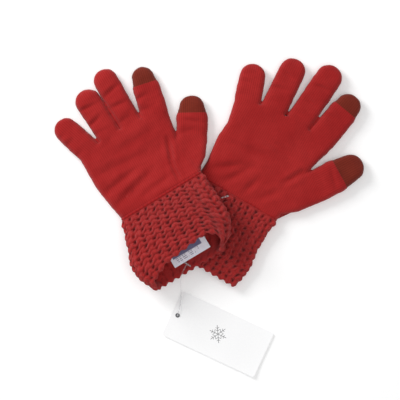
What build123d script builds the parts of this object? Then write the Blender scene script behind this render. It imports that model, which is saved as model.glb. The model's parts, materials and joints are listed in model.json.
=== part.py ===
from build123d import *

import os
from dataclasses import dataclass
from math import cos, pi, radians, sin, tan

# A pair of knitted touchscreen gloves, laid flat with one cuff across the other.
#
# Each glove is a fine-knit hand tube with four finger tubes and a thumb tube linked to it, a chunky cuff
# linked on at the wrist, and conductive tips on the index finger and thumb. The right glove lies palm up
# over the left one, which lies back up. A care label is sewn inside the right cuff, and a swing tag hangs
# from it on a clear filament. Units are millimetres and degrees. +Z is up from the surface that the pair
# lies on, +Y runs towards the fingers and the origin is under the middle of the pair.


# Knit, as laid flat
KNIT_WALL = 1.8  # fine knit of the hands and fingers
FLAT = 12.0  # hands and fingers, underside to top
PRESSED_FLAT = 11.0  # the left wrist, under the right one
CUFF_WALL = 3.2  # chunky knit of the cuffs
CUFF_FLAT = 11.4  # the pressed left cuff, underside to top
FOLD_GAP = 0.3  # between pieces that fold against each other
SEAM_WIDTH = 2.4  # the linking seam round each wrist
SEAM_WALL = 2.6
OVERRUN = 1.5  # how far a hollow is cut past an open end

# Fingertips
DOME_SHARE = 0.92  # length of a tip's dome over its half width
DOME_STEPS = (28, 52, 71, 84)  # angles of the sections that round the dome off
BELLY_AT = 0.45  # where a finger is widest, as a share of its length

# Swing tag
TAG_LENGTH = 106.0
TAG_WIDTH = 51.0
TAG_CARD = 0.6
TAG_CORNER = 2.5
TAG_TURN = -25.0  # the tag's long side, from +X
TAG_HOLE_INSET = 6.3  # hole centre from the short side
EYELET_HOLE = 1.0  # radius
EYELET_RIM = 2.3  # radius
EYELET_RISE = 0.25  # above and below the card
BUTTON_RADIUS = 2.6  # moulded head that keeps the filament in the eyelet
BUTTON_THICK = 0.8
BUTTON_GAP = 0.3  # under the eyelet

EYELET_BASE = BUTTON_THICK + BUTTON_GAP

# Filament that carries the tag
FILAMENT = 0.6  # diameter
ARC_SHARE = 0.45  # of the shorter run beside a point, that its arc takes up
ANCHOR_LENGTH = 9.0  # T-bar at the label's edge
ANCHOR_RADIUS = 0.7

# Care label
LABEL_WIDTH = 43.0
LABEL_DEPTH = 33.0
LABEL_THICK = 0.5
STITCH = (2.6, 0.9, 0.5)
STITCH_COUNT = 9

# Clear tie that pairs the gloves
TIE_LENGTH = 8.5
TIE_RADIUS = 0.9


@dataclass
class Finger:
    """One knitted finger or thumb in its glove's frame: x towards the thumb, y towards the fingertips."""

    name: str
    base: tuple  # middle of the line that links it to the hand
    lean: float  # its direction, anticlockwise from y
    root: float  # width where it is linked
    belly: float  # greatest width
    neck: float  # width where its dome begins
    length: float
    tip: float = 0.0  # length of its conductive tip, if it has one


@dataclass
class Section:
    """One flattened-tube section: where its middle is, how wide and thick, and how it is turned."""

    x: float
    y: float
    width: float
    height: float = FLAT
    rest: float = 0.0  # height of its lowest point
    lean: float = 0.0  # of its forward direction, anticlockwise from y
    roll: float = 0.0  # thumb side up

    @property
    def z(self):
        return self.rest + self.height / 2 + (self.width - self.height) / 2 * sin(radians(self.roll))


@dataclass
class Glove:
    """One glove: its place on the surface, and its pieces in its own frame."""

    name: str
    wrist: tuple  # middle of the wrist line, in the row frame
    turn: float  # of its y axis, anticlockwise from +Y
    hand: list
    gusset: list
    fingers: list
    cuff: list
    mouth_setback: float = 0.0  # how far the top layer's edge lies behind the bottom layer's

    @property
    def plane(self):
        across = (cos(radians(self.turn)), sin(radians(self.turn)), 0)
        return Plane(origin=(*self.wrist, 0), x_dir=across, z_dir=(0, 0, 1))


RIGHT = Glove(
    name="right",
    wrist=(-50.5, -23.2),
    turn=31.0,
    hand=[
        Section(0.0, 0.0, 99.0, roll=9.0),
        Section(-2.2, 17.0, 100.0, roll=3.5),
        Section(-4.9, 42.0, 100.6),
        Section(-2.4, 66.0, 104.0),
        Section(-1.0, 92.0, 109.0),
    ],
    gusset=[
        Section(24.6, 3.0, 49.4, rest=6.7, roll=8.0),
        Section(42.0, 18.0, 40.0, rest=3.8, lean=-24.0, roll=3.0),
        Section(60.0, 36.6, 31.6, lean=-30.0),
    ],
    fingers=[
        Finger("little_finger", (-40.7, 75.3), 16.4, 26.6, 26.6, 24.4, 47.1),
        Finger("ring_finger", (-14.5, 79.4), 1.8, 26.4, 26.4, 26.0, 55.8),
        Finger("middle_finger", (11.1, 78.8), -0.4, 24.2, 24.4, 24.4, 65.2),
        Finger("index_finger", (37.1, 73.5), -12.8, 28.6, 28.6, 24.0, 53.6, 18.5),
        Finger("thumb", (60.0, 36.6), -30.0, 31.6, 31.8, 27.0, 41.5, 18.5),
    ],
    cuff=[
        Section(0.0, 0.0, 98.0, roll=9.0),
        Section(-1.8, -12.0, 101.0, 13.4, 1.6, roll=9.5),
        Section(-3.8, -25.0, 106.0, 15.0, 6.8, roll=7.4),
        Section(-7.5, -50.0, 115.0, 20.0, 9.6, roll=5.0),
        Section(-9.2, -66.0, 110.0, 22.6, 9.8, roll=4.4),
        Section(-9.6, -77.0, 97.0, 23.6, 10.4, roll=4.0),
        Section(-8.0, -83.0, 78.0, 23.0, 11.2, roll=4.0),
    ],
    mouth_setback=21.0,
)

LEFT = Glove(
    name="left",
    wrist=(30.5, -24.1),
    turn=-30.0,
    hand=[
        Section(0.8, 0.0, 95.6, PRESSED_FLAT),
        Section(1.2, 14.0, 95.2, 11.4),
        Section(0.0, 42.0, 99.2),
        Section(1.8, 61.0, 100.2),
        Section(2.6, 89.0, 114.0),
        Section(3.0, 114.0, 118.0),
    ],
    gusset=[
        Section(23.0, 4.0, 50.4, 10.8),
        Section(45.9, 26.5, 40.0, lean=-30.0),
        Section(67.1, 50.0, 34.4, lean=-31.5),
    ],
    fingers=[
        Finger("little_finger", (-40.6, 88.3), 18.3, 27.6, 27.6, 25.5, 41.2),
        Finger("ring_finger", (-13.0, 94.9), 4.0, 28.0, 28.0, 26.4, 59.0),
        Finger("middle_finger", (15.9, 96.2), -4.6, 28.0, 28.0, 26.8, 71.0),
        Finger("index_finger", (45.2, 92.5), -9.6, 30.4, 30.4, 27.0, 59.2, 18.5),
        Finger("thumb", (67.1, 50.0), -31.5, 34.4, 33.6, 29.0, 53.2, 27.5),
    ],
    cuff=[
        Section(1.0, 0.0, 94.0, PRESSED_FLAT),
        Section(0.4, -22.0, 90.0, CUFF_FLAT),
        Section(0.2, -42.0, 90.0, CUFF_FLAT),
        Section(1.0, -60.0, 94.0, CUFF_FLAT),
        Section(0.6, -74.0, 92.0, CUFF_FLAT),
        Section(0.2, -84.4, 82.0, CUFF_FLAT),
    ],
)

# Where the small pieces lie, in the row frame
TAG_HOLE = (-33.4, -150.3)
LABEL_PLACE = (-5.5, -57.0)  # middle of the label, in the right glove's frame
TIE_PLACE = (-11.5, -9.0)  # in the left glove's frame

# The filament's route: over the cuff's lower lip, down to the tag and through its eyelet
FILAMENT_ROUTE = [
    (-23.6, -96.6, 17.3),
    (-25.5, -99.7, 17.6),
    (-28.1, -104.2, 17.4),
    (-29.9, -111.4, 14.0),
    (-30.0, -120.4, 8.6),
    (-29.4, -129.9, 4.3),
    (-30.2, -138.1, 3.0),
    (-31.7, -144.3, 3.8),
    (-32.9, -148.2, 4.9),
    (*TAG_HOLE, 3.3),
    (*TAG_HOLE, BUTTON_THICK),
]


def facing(lean, roll=0.0):
    """Across and forward directions, in a glove's frame, of a piece with this lean and roll."""
    level = cos(radians(roll))
    across = Vector(cos(radians(lean)) * level, sin(radians(lean)) * level, sin(radians(roll)))
    forward = Vector(-sin(radians(lean)), cos(radians(lean)), 0)
    return across, forward


def cross_plane(glove, point, lean, roll=0.0):
    """The plane across a tube of the glove at a point of the glove's frame."""
    frame = glove.plane
    across, forward = facing(lean, roll)
    origin = frame.from_local_coords(point)
    return Plane(
        origin=origin,
        x_dir=frame.from_local_coords(across) - frame.origin,
        z_dir=frame.from_local_coords(forward) - frame.origin,
    )


def section_plane(glove, section, ahead=0.0):
    """The plane of a section, moved ahead of it along its own direction."""
    _, forward = facing(section.lean)
    point = (section.x + forward.X * ahead, section.y + forward.Y * ahead, section.z)
    return cross_plane(glove, point, section.lean, section.roll)


def finger_runs(finger, inset=0.0):
    """(distance from the base, width, height) along a finger's body, then its dome, taken in by inset."""
    neck = finger.neck / 2 - inset
    thick = FLAT / 2 - inset
    dome = DOME_SHARE * neck
    shoulder = finger.length - inset - dome
    start = -OVERRUN if inset else FOLD_GAP
    body = [
        (start, finger.root - 2 * inset, 2 * thick),
        (BELLY_AT * finger.length, finger.belly - 2 * inset, 2 * thick),
        (shoulder, 2 * neck, 2 * thick),
    ]
    rounding = [body[-1]]
    for angle in DOME_STEPS:
        share = cos(radians(angle))
        rounding.append((shoulder + dome * sin(radians(angle)), 2 * neck * share, 2 * thick * share**0.8))
    return body, rounding


def finger_plane(glove, finger, distance):
    """The plane across a finger, a distance along it from its base."""
    _, forward = facing(finger.lean)
    point = (finger.base[0] + forward.X * distance, finger.base[1] + forward.Y * distance, FLAT / 2)
    return cross_plane(glove, point, finger.lean)


def make_finger_tube(glove, finger):
    """A whole finger: a flattened knitted tube, open at its base and domed at its tip."""
    with BuildPart() as tube:
        for inset, mode in ((0.0, Mode.ADD), (KNIT_WALL, Mode.SUBTRACT)):
            for run in finger_runs(finger, inset):
                for distance, width, height in run:
                    with BuildSketch(finger_plane(glove, finger, distance)):
                        SlotOverall(width, height)
                loft(mode=mode)
    return tube


def make_finger(glove, finger):
    """The finger up to its conductive tip, or all of it where it has none."""
    with BuildPart() as piece:
        add(make_finger_tube(glove, finger).part)
        if finger.tip:
            split(bisect_by=finger_plane(glove, finger, finger.length - finger.tip), keep=Keep.BOTTOM)
    return piece


def make_tip(glove, finger):
    """The conductive tip, knitted on where the finger ends."""
    with BuildPart() as piece:
        add(make_finger_tube(glove, finger).part)
        split(bisect_by=finger_plane(glove, finger, finger.length - finger.tip), keep=Keep.TOP)
    return piece


def knuckle_points(glove):
    """The line of the finger roots, from the little finger's outer corner to the index finger's."""
    points = []
    for finger in glove.fingers[:4]:
        across, _ = facing(finger.lean)
        half = finger.root / 2
        points.append((finger.base[0] - across.X * half, finger.base[1] - across.Y * half))
        points.append((finger.base[0] + across.X * half, finger.base[1] + across.Y * half))
    return points


def make_hand(glove):
    """The hand tube with its thumb gusset, open at the wrist, at the knuckles and at the thumb."""
    knuckles = knuckle_points(glove)
    reach = 60.0  # past every finger root
    first, last = knuckles[0], knuckles[-1]
    beyond = [(first[0] - reach, first[1] - reach * tan(radians(20))), *knuckles]
    beyond += [(last[0] + reach, last[1]), (last[0] + reach, last[1] + reach)]
    beyond += [(first[0] - reach, last[1] + reach)]
    with BuildPart() as hand:
        for chain, mode in ((glove.hand, Mode.ADD), (glove.gusset, Mode.ADD)):
            for section in chain:
                with BuildSketch(section_plane(glove, section)):
                    SlotOverall(section.width, section.height)
            loft(ruled=True, mode=mode)
        for chain in (glove.hand, glove.gusset):
            for section in chain:
                ahead = OVERRUN if section is chain[-1] else 0.0
                ahead -= OVERRUN if section is glove.hand[0] else 0.0
                with BuildSketch(section_plane(glove, section, ahead)):
                    SlotOverall(section.width - 2 * KNIT_WALL, section.height - 2 * KNIT_WALL)
            loft(ruled=True, mode=Mode.SUBTRACT)
        with BuildSketch(glove.plane):
            with BuildLine():
                Polyline(*beyond, close=True)
            make_face()
        extrude(amount=2 * FLAT, mode=Mode.SUBTRACT)
    return hand


def cuff_chain(glove, start, end):
    """The cuff's sections from start to end, distances behind the wrist."""
    first = glove.cuff[0]
    chain = [Section(first.x, -start, first.width, first.height, first.rest, 0.0, first.roll)]
    return chain + [section for section in glove.cuff if start + 1 < -section.y <= end]


def make_cuff_tube(glove, chain, wall):
    """A chunky tube through the chain's sections, open at both ends."""
    with BuildPart() as tube:
        for section in chain:
            with BuildSketch(section_plane(glove, section)):
                SlotOverall(section.width, section.height)
        loft(ruled=True)
        for section in chain:
            ahead = OVERRUN if section is chain[0] else 0.0
            ahead -= OVERRUN if section is chain[-1] else 0.0
            with BuildSketch(section_plane(glove, section, ahead)):
                SlotOverall(section.width - 2 * wall, section.height - 2 * wall)
        loft(ruled=True, mode=Mode.SUBTRACT)
    return tube


def make_cuff(glove):
    """The chunky cuff, with its top layer set back at the mouth where the glove says so."""
    chain = cuff_chain(glove, FOLD_GAP + SEAM_WIDTH, 1000)
    mouth = chain[-1]
    with BuildPart() as cuff:
        add(make_cuff_tube(glove, chain, CUFF_WALL).part)
        if glove.mouth_setback:
            frame = glove.plane
            low = frame.from_local_coords((mouth.x, mouth.y, mouth.z - mouth.height / 2))
            slope = Vector(0, -mouth.height, glove.mouth_setback)
            normal = frame.from_local_coords(slope) - frame.origin
            split(bisect_by=Plane(origin=low, x_dir=frame.x_dir, z_dir=normal), keep=Keep.BOTTOM)
    return cuff


def make_wrist_seam(glove):
    """The linked seam between the hand and the cuff."""
    first = glove.cuff[0]
    ends = [
        Section(first.x, -distance, first.width, first.height, first.rest, 0.0, first.roll)
        for distance in (FOLD_GAP, FOLD_GAP + SEAM_WIDTH)
    ]
    return make_cuff_tube(glove, ends, SEAM_WALL)


def cuff_floor_plane():
    """The plane on the inside of the right cuff's lower layer, where the label lies."""
    before, after = RIGHT.cuff[3], RIGHT.cuff[4]
    share = (LABEL_PLACE[1] - before.y) / (after.y - before.y)
    x = before.x + share * (after.x - before.x)
    roll = before.roll + share * (after.roll - before.roll)
    middle = before.z + share * (after.z - before.z)
    height = before.height + share * (after.height - before.height)
    floor = middle - height / 2 + CUFF_WALL + (LABEL_PLACE[0] - x) * tan(radians(roll)) + 2 * FOLD_GAP
    rise = (before.z - before.height / 2) - (after.z - after.height / 2)
    across = Vector(cos(radians(roll)), 0, sin(radians(roll)))
    forward = Vector(0, before.y - after.y, rise)
    frame = RIGHT.plane
    normal = frame.from_local_coords(across.cross(forward)) - frame.origin
    return Plane(
        origin=frame.from_local_coords((*LABEL_PLACE, floor)),
        x_dir=frame.from_local_coords(across) - frame.origin,
        z_dir=normal,
    )


def make_label():
    """The satin care label, sewn down along its inner edge."""
    with BuildPart() as label:
        with BuildSketch(cuff_floor_plane()):
            Rectangle(LABEL_WIDTH, LABEL_DEPTH)
        extrude(amount=LABEL_THICK)
    return label


def make_label_stitches():
    """The row of stitches along the label's inner edge."""
    long, wide, high = STITCH
    row = cuff_floor_plane().offset(LABEL_THICK)
    with BuildPart() as stitches:
        with BuildSketch(row):
            with Locations((0, LABEL_DEPTH / 2 - 2 * wide)):
                with GridLocations(LABEL_WIDTH / STITCH_COUNT, 1, STITCH_COUNT, 1):
                    SlotOverall(long, wide)
        extrude(amount=high)
    return stitches


def tag_plane(height):
    """The tag's plane at a height, with its origin at the hole and x along the card."""
    along = (cos(radians(TAG_TURN)), sin(radians(TAG_TURN)), 0)
    return Plane(origin=(*TAG_HOLE, height), x_dir=along, z_dir=(0, 0, 1))


def make_tag():
    """The card of the swing tag, with a round hole for its eyelet."""
    with BuildPart() as tag:
        with BuildSketch(tag_plane(EYELET_BASE + EYELET_RISE)):
            with Locations((TAG_LENGTH / 2 - TAG_HOLE_INSET, 0)):
                RectangleRounded(TAG_LENGTH, TAG_WIDTH, TAG_CORNER)
            Circle((EYELET_HOLE + EYELET_RIM) / 2, mode=Mode.SUBTRACT)
        extrude(amount=TAG_CARD)
    return tag


def make_eyelet():
    """The eyelet that lines the tag's hole, with a rim on each face of the card."""
    barrel = (EYELET_HOLE + EYELET_RIM) / 2
    base = EYELET_BASE
    with BuildPart() as eyelet:
        with BuildSketch(tag_plane(base)):
            Circle(EYELET_RIM)
        extrude(amount=EYELET_RISE)
        with BuildSketch(tag_plane(base + EYELET_RISE)):
            Circle(barrel)
        extrude(amount=TAG_CARD)
        with BuildSketch(tag_plane(base + EYELET_RISE + TAG_CARD)):
            Circle(EYELET_RIM)
        extrude(amount=EYELET_RISE)
        with BuildSketch(tag_plane(base)):
            Circle(EYELET_HOLE)
        extrude(amount=TAG_CARD + 2 * EYELET_RISE, mode=Mode.SUBTRACT)
    return eyelet


def route_radii():
    """The arc at each inner point of the filament's route, as large as its two runs allow."""
    points = [Vector(*point) for point in FILAMENT_ROUTE]
    runs = [after - before for before, after in zip(points, points[1:])]
    radii = []
    for run, following in zip(runs, runs[1:]):
        half_turn = radians(run.get_angle(following)) / 2
        radii.append(ARC_SHARE * min(run.length, following.length) / tan(half_turn))
    return radii


def make_filament():
    """The clear filament, from its T-bar at the label to its button under the tag."""
    radii = route_radii()
    with BuildPart() as filament:
        with BuildLine() as route:
            FilletPolyline(*FILAMENT_ROUTE, radius=radii)
        path = route.wires()[0]
        with BuildSketch(Plane(origin=path @ 0, z_dir=path % 0)):
            Circle(FILAMENT / 2)
        sweep(path=path)
    straight = pi * FILAMENT**2 / 4 * path.length
    print("filament radii", [round(radius, 1) for radius in radii], "length", round(path.length, 1))
    print("filament volume", round(filament.part.volume, 2), "of", round(straight, 2))
    return filament


def make_anchor():
    """The T-bar that keeps the filament's upper end behind the label's edge."""
    start = Vector(*FILAMENT_ROUTE[0])
    out = (Vector(*FILAMENT_ROUTE[1]) - start).normalized()
    across = out.cross(Vector(0, 0, 1)).normalized()
    with BuildPart() as anchor:
        with BuildSketch(Plane(origin=start - out * ANCHOR_RADIUS, z_dir=across)):
            Circle(ANCHOR_RADIUS)
        extrude(amount=ANCHOR_LENGTH / 2, both=True)
    return anchor


def make_button():
    """The flat button on the filament's lower end, under the tag."""
    with BuildPart() as button:
        with BuildSketch(tag_plane(0)):
            Circle(BUTTON_RADIUS)
        extrude(amount=BUTTON_THICK)
    return button


def make_pair_tie():
    """The clear bar of the tie that holds the pair together, lying where the two cuffs cross."""
    place = LEFT.plane.from_local_coords((*TIE_PLACE, CUFF_FLAT + TIE_RADIUS + 0.1))
    with BuildPart() as tie:
        with BuildSketch(Plane(origin=place, x_dir=(0, 0, 1), z_dir=(0.96, 0.28, 0))):
            Circle(TIE_RADIUS)
        extrude(amount=TIE_LENGTH / 2, both=True)
        fillet(tie.edges().filter_by(GeomType.CIRCLE), radius=TIE_RADIUS * 0.6)
    return tie


def pieces():
    """(node name, its builder) of every piece."""
    for glove in (RIGHT, LEFT):
        yield f"{glove.name}_hand", make_hand(glove)
        for finger in glove.fingers:
            yield f"{glove.name}_{finger.name}", make_finger(glove, finger)
            if finger.tip:
                yield f"{glove.name}_{finger.name}_tip", make_tip(glove, finger)
        yield f"{glove.name}_cuff", make_cuff(glove)
        yield f"{glove.name}_wrist_seam", make_wrist_seam(glove)
    yield "care_label", make_label()
    yield "label_stitches", make_label_stitches()
    yield "swing_tag", make_tag()
    yield "tag_eyelet", make_eyelet()
    yield "tag_button", make_button()
    yield "filament_anchor", make_anchor()
    yield "tag_filament", make_filament()
    yield "pair_tie", make_pair_tie()


def main():
    os.makedirs("parts", exist_ok=True)
    for name, piece in pieces():
        piece.part.label = name
        export_step(piece.part, f"parts/{name}.step")


main()
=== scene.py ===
import json
from math import cos, pi, sin, sqrt

import bmesh
import bpy
import numpy as np
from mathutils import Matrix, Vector
from mathutils.bvhtree import BVHTree


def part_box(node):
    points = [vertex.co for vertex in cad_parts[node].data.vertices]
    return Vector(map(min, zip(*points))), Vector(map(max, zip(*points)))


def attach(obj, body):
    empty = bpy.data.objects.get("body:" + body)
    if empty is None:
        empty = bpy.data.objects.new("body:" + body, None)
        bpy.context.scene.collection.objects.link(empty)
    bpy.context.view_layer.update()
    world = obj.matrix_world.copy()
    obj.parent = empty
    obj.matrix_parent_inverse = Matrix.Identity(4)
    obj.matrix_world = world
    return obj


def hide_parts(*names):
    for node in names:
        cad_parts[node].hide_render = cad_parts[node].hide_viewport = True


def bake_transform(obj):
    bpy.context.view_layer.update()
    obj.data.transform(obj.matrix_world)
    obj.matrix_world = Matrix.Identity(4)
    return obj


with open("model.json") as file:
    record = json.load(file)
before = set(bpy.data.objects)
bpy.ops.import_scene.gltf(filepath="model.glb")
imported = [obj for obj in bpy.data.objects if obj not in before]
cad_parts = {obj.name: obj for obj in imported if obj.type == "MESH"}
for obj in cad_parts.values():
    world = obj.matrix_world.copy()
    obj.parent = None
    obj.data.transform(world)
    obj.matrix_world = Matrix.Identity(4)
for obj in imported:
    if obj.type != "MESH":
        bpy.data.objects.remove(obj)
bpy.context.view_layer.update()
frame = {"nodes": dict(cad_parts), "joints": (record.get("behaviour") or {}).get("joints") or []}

# Sizes are in millimetres in the functions that shape knitting, and in metres where Blender gets them.
MM = 0.001
TINY = 1e-6  # keeps a division from a division by zero
UP = Vector((0.0, 0.0, 1.0))
JOINTS = {joint["name"]: joint for joint in frame["joints"]}
GLOVES = ("right", "left")
FINGERS = ("little_finger", "ring_finger", "middle_finger", "index_finger", "thumb")
TIPPED = ("index_finger", "thumb")

# Fine knit of the hands and fingers
SIDE_ROUND = 6.0  # rounding of a flat tube's side edge
WALE = 2.2  # one column of stitches
COURSE = 1.7  # one row of stitches
VOXEL = 0.95  # mesh size of the hands
INSIDE = 1.3  # thickness of the fine knit
FOLD_DEPTH = 1.6  # factor on the depths of the folds and creases that are listed below
RIDGE = 0.5  # how high the knit rises beside a finger's fold, as a share of the fold
POCKET = 24.0  # how far the inside of a hand is made
LAP = 3.6  # how far the hand's knit runs on behind the linking
END_BAND, END_FACING = 1.2, 0.75  # the faces this near to that end, and this square to it, are opened
RIM_LIMIT = 2.0  # open edges past this place aren't the wrist's
BEND_REACH, WRIST_REACH = 15.0, 24.0  # distances past a finger's root and a wrist, at which a point is reckoned that nothing uses
WAVES = 9  # waves in the hands' unevenness
BROAD_WAVE, FINE_WAVE = (0.8, 30.0), (0.2, 9.0)  # height and length of that unevenness
WAVE_SEEDS = {"right": (5, 13), "left": (3, 11)}
FULL_END, FULL_BELOW_TIP = 0.5, 0.7  # how much fuller a finger is towards its end, or below its tip
TIP_TIGHT = 0.35  # how much tighter the conductive tips are
FLOOR_GAP = 0.02  # the least height of the knit over the floor

# How the CAD tubes are measured and joined
HAND_PROBE, FINGER_PROBE = 18.0, 8.0  # half the flat stretch that is measured across a tube
MERGE = 0.02  # corners nearer to each other than this are one
PLUG_SIDES = 32
# Plugs across the gaps between two tubes: (where the tube is measured, inset, start, end) along it
WRIST_PLUG = (2.0, 0.2, -LAP, 3.0)
ROOT_PLUG = (4.0, 0.6, -9.0, 4.0)
TIP_PLUG = (-3.0, 0.6, -2.0, 3.0)

# Chunky rib of the cuffs
RIB_COLUMNS = 23
RIB_ROWS = 12
RIB_COLUMN = 9.6  # width of one rib
RIB_ROW = 6.8  # height of one chunky stitch
COLUMN_STEPS, ROW_STEPS = 18, 11  # mesh points for each rib and each stitch
LIP_STEPS, LINING_STEPS = 6, 48
V_SLANT = 0.8  # how steeply a stitch's legs climb, in rows for a rib's width
LEG_HEIGHT, LEG_PLACE, LEG_WIDTH = 2.3, 0.17, 0.23  # the place and width are shares of a rib
HOLE_DEPTH, HOLE_ACROSS, HOLE_ALONG = 1.3, 2.1, 1.5
BAR_HEIGHT = 1.4  # the yarn that crosses between two ribs
SCALLOP = 1.0  # depth of the mouth's scallops
START_RELIEF, LIP_RELIEF, LINING_RELIEF = 0.35, 0.8, -0.12  # shares of the ribs' full height
CUFF_WALL = 3.2
RIB_INSET = 0.4  # how far the ribs' backing lies inside the tube that was measured
LINING_INSET = CUFF_WALL - 0.5
LIP_RADIUS = CUFF_WALL / 2 - 0.5
LIP_REACH = 0.018  # how far the rounded lip stands out, as a share of the cuff
CUFF_START = 2.9  # distance from the wrist to the first row of the cuff
FIRST_SECTION, SECTION_STEP, LAST_SECTION = 3.6, 2.0, 90.0  # where a cuff is measured, behind the wrist
SECTION_BLUR, SECTION_COUNT = 5.0, 90
LONGEST_CUFF, SHORTEST_CUFF, END_STEP = 95.0, 40.0, 0.5  # where the end of a layer is looked for
CUFF_MIDDLE = -6.0
BOTH_LAYERS = 9.0  # the least height of a place where both layers are left
LOW_LAYER = 3.0  # height over a cuff's underside at which its lower layer's width is measured
OPEN_WIDTH, OPEN_HEIGHT = 50.0, 11.0  # half sizes of an open cuff, for which its lip is planned
# Share that the upper lip of a gaping mouth is pulled back, from the little finger's side to the thumb's
MOUTH_LIP = ((-1.0, -0.8, -0.4, 0.1, 0.5, 0.68, 0.84, 1.0), (0.15, 0.6, 1.1, 1.3, 1.4, 1.15, 0.45, 0.1))
# How the stitches and holes differ from each other
YARN_JITTER = np.random.default_rng(7).uniform(-1, 1, (3, RIB_COLUMNS, RIB_ROWS + 2))

# Linking of the wrists: a low cord, a little sunk into the knit
LINK_STEPS, LINK_SIDES, LINK_STITCHES = 480, 10, 46
LINK_SECTION = 3.7  # where the cuff is measured for it
LINK_SUNK, LINK_BEHIND = 1.2, 1.6
LINK_RADIUS, LINK_SWELL = 0.7, 0.5

# Tag, label and filament
TAG_CORNER = 2.5
TAG_PUNCH = 1.6  # radius of the card's hole, under its eyelet
PUNCH_BAND = 0.6  # mesh points this near to the hole's edge move on to it
TAG_THICK, LABEL_THICK = 0.45, 0.22
TAG_RAISE, LABEL_RAISE = 0.3, 0.25  # heights over the card's underside and the label's middle in CAD
TAG_GRID, LABEL_GRID = (107, 53), (61, 47)
FILAMENT_THICK = 0.0006
POINT_RADIUS = 0.001  # keeps the curve's own box close to its line
FILAMENT_ROUTE = [
    (-0.0236, -0.0966, 0.0173),
    (-0.0255, -0.0997, 0.0176),
    (-0.0281, -0.1042, 0.0174),
    (-0.0299, -0.1114, 0.0140),
    (-0.0300, -0.1204, 0.0086),
    (-0.0294, -0.1299, 0.0043),
    (-0.0302, -0.1381, 0.0030),
    (-0.0317, -0.1443, 0.0038),
    (-0.0329, -0.1482, 0.0049),
    (-0.0334, -0.1503, 0.0033),
    (-0.0334, -0.1503, 0.0008),
]

# Camera, straight above the pair, and lamps: (name, place, size, power)
VIEW_CENTRE = (-0.0099, -0.0293)
VIEW_HEIGHT = 2.0
VIEW_WIDTH = 0.42
LAMPS = (("window", (-1.1, 0.9, 0.9), 0.7, 20), ("ceiling", (0.3, -0.2, 1.7), 1.2, 6))
SKY = 0.55
FLOOR_GLOW = 0.16
FLOOR_HALF = 3.0


# ---- directions


class Run:
    """A flat tube's own directions: across it, along it, and the point it starts from."""

    def __init__(self, joint_name):
        joint = JOINTS[joint_name]
        axis = Vector(joint["axis"])
        self.across = Vector((axis.x, axis.y, 0.0)).normalized()
        self.along = UP.cross(self.across)
        self.directions = np.array((self.across, self.along, UP))
        start = Vector(joint["pos_m"])
        self.start = np.array((start.x, start.y, 0.0))

    def local(self, points):
        """(across, along, height) in millimetres of points in metres."""
        return (points - self.start) @ self.directions.T / MM

    def world(self, points):
        """Points in metres of (across, along, height) in millimetres."""
        return points @ self.directions * MM + self.start

    def at(self, across, along, height):
        """The same for one point."""
        return Vector(self.world(np.array((across, along, height), float)))


WRIST = {glove: Run(f"{glove}_wrist_fold") for glove in GLOVES}
FINGER = {(glove, finger): Run(f"{glove}_{finger}_fold") for glove in GLOVES for finger in FINGERS}


def tree_of(node):
    """A CAD node's surface, made searchable."""
    mesh = frame["nodes"][node].data
    corners = [vertex.co.copy() for vertex in mesh.vertices]
    return BVHTree.FromPolygons(corners, [list(face.vertices) for face in mesh.polygons])


def hit(tree, point, direction, reach=0.2):
    """The outermost point of the surface on the line through point, seen from that direction."""
    return tree.ray_cast(point + direction * reach, -direction, 2 * reach)[0]


def side_edges(tree, run, along, height, slope):
    """How far across the run a flat tube's two side edges are, at a height."""
    tilted = (run.across + UP * slope).normalized()
    ends = [hit(tree, run.at(0, along, height), tilted * side) for side in (-1, 1)]
    return None if None in ends else [run.local(np.array(end))[0] for end in ends]


def measured_section(tree, run, along, probe=HAND_PROBE):
    """A flat tube's section: (middle across, middle height, half width, half height, slope)."""
    tops = [hit(tree, run.at(across, along, 0), UP) for across in (-probe, probe)]
    bottoms = [hit(tree, run.at(across, along, 0), -UP) for across in (-probe, probe)]
    slope = (tops[1].z - tops[0].z) / MM / (2 * probe)
    middle = sum(point.z for point in tops + bottoms) / 4 / MM
    half_height = sum(point.z for point in tops) / 2 / MM - middle
    left, right = side_edges(tree, run, along, middle, slope)
    centre = (left + right) / 2
    return centre, middle + centre * slope, (right - left) / 2, half_height, slope


def lower_section(tree, run, along, half_height, slope):
    """The same for the mouth, where only the lower layer is left, from the tube's height before it."""
    bottoms = [hit(tree, run.at(across, along, 0), -UP) for across in (-HAND_PROBE, HAND_PROBE)]
    if None in bottoms:
        return None
    bottom = sum(point.z for point in bottoms) / 2 / MM
    edges = side_edges(tree, run, along, bottom + LOW_LAYER, slope)
    if edges is None:
        return None
    left, right = edges
    rounding = half_height - sqrt(half_height ** 2 - (half_height - LOW_LAYER) ** 2)
    centre = (left + right) / 2
    half_width = (right - left) / 2 + rounding
    return centre, bottom + half_height + centre * slope, half_width, half_height, slope


# ---- meshes


def new_object(name, mesh):
    """A new object in the scene."""
    made = bpy.data.objects.new(name, mesh)
    bpy.context.scene.collection.objects.link(made)
    return made


def mesh_of(name, points, faces):
    """A mesh of points in metres and of faces that name them by number."""
    mesh = bpy.data.meshes.new(name)
    mesh.from_pydata([tuple(point) for point in points], [], faces)
    mesh.update()
    return mesh


def grid_faces(rows, columns, closed):
    """The quads of a grid of points, row after row, closed round each row if asked."""
    faces = []
    last = columns if closed else columns - 1
    for row in range(rows - 1):
        for column in range(last):
            beside = (column + 1) % columns
            faces.append((row * columns + column, row * columns + beside,
                          (row + 1) * columns + beside, (row + 1) * columns + column))
    return faces


def every_pair(across, along):
    """Each pair of two lists of numbers, row after row."""
    return [table.ravel() for table in np.meshgrid(across, along)]


def baked(made):
    """The object's mesh with its modifiers applied."""
    bpy.context.view_layer.update()
    graph = bpy.context.evaluated_depsgraph_get()
    return bpy.data.meshes.new_from_object(made.evaluated_get(graph))


def triples(source, name):
    """Three numbers of each vertex, normal or face of a mesh."""
    values = np.zeros(len(source) * 3, np.float32)
    source.foreach_get(name, values)
    return values.reshape(-1, 3).astype(float)


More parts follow.
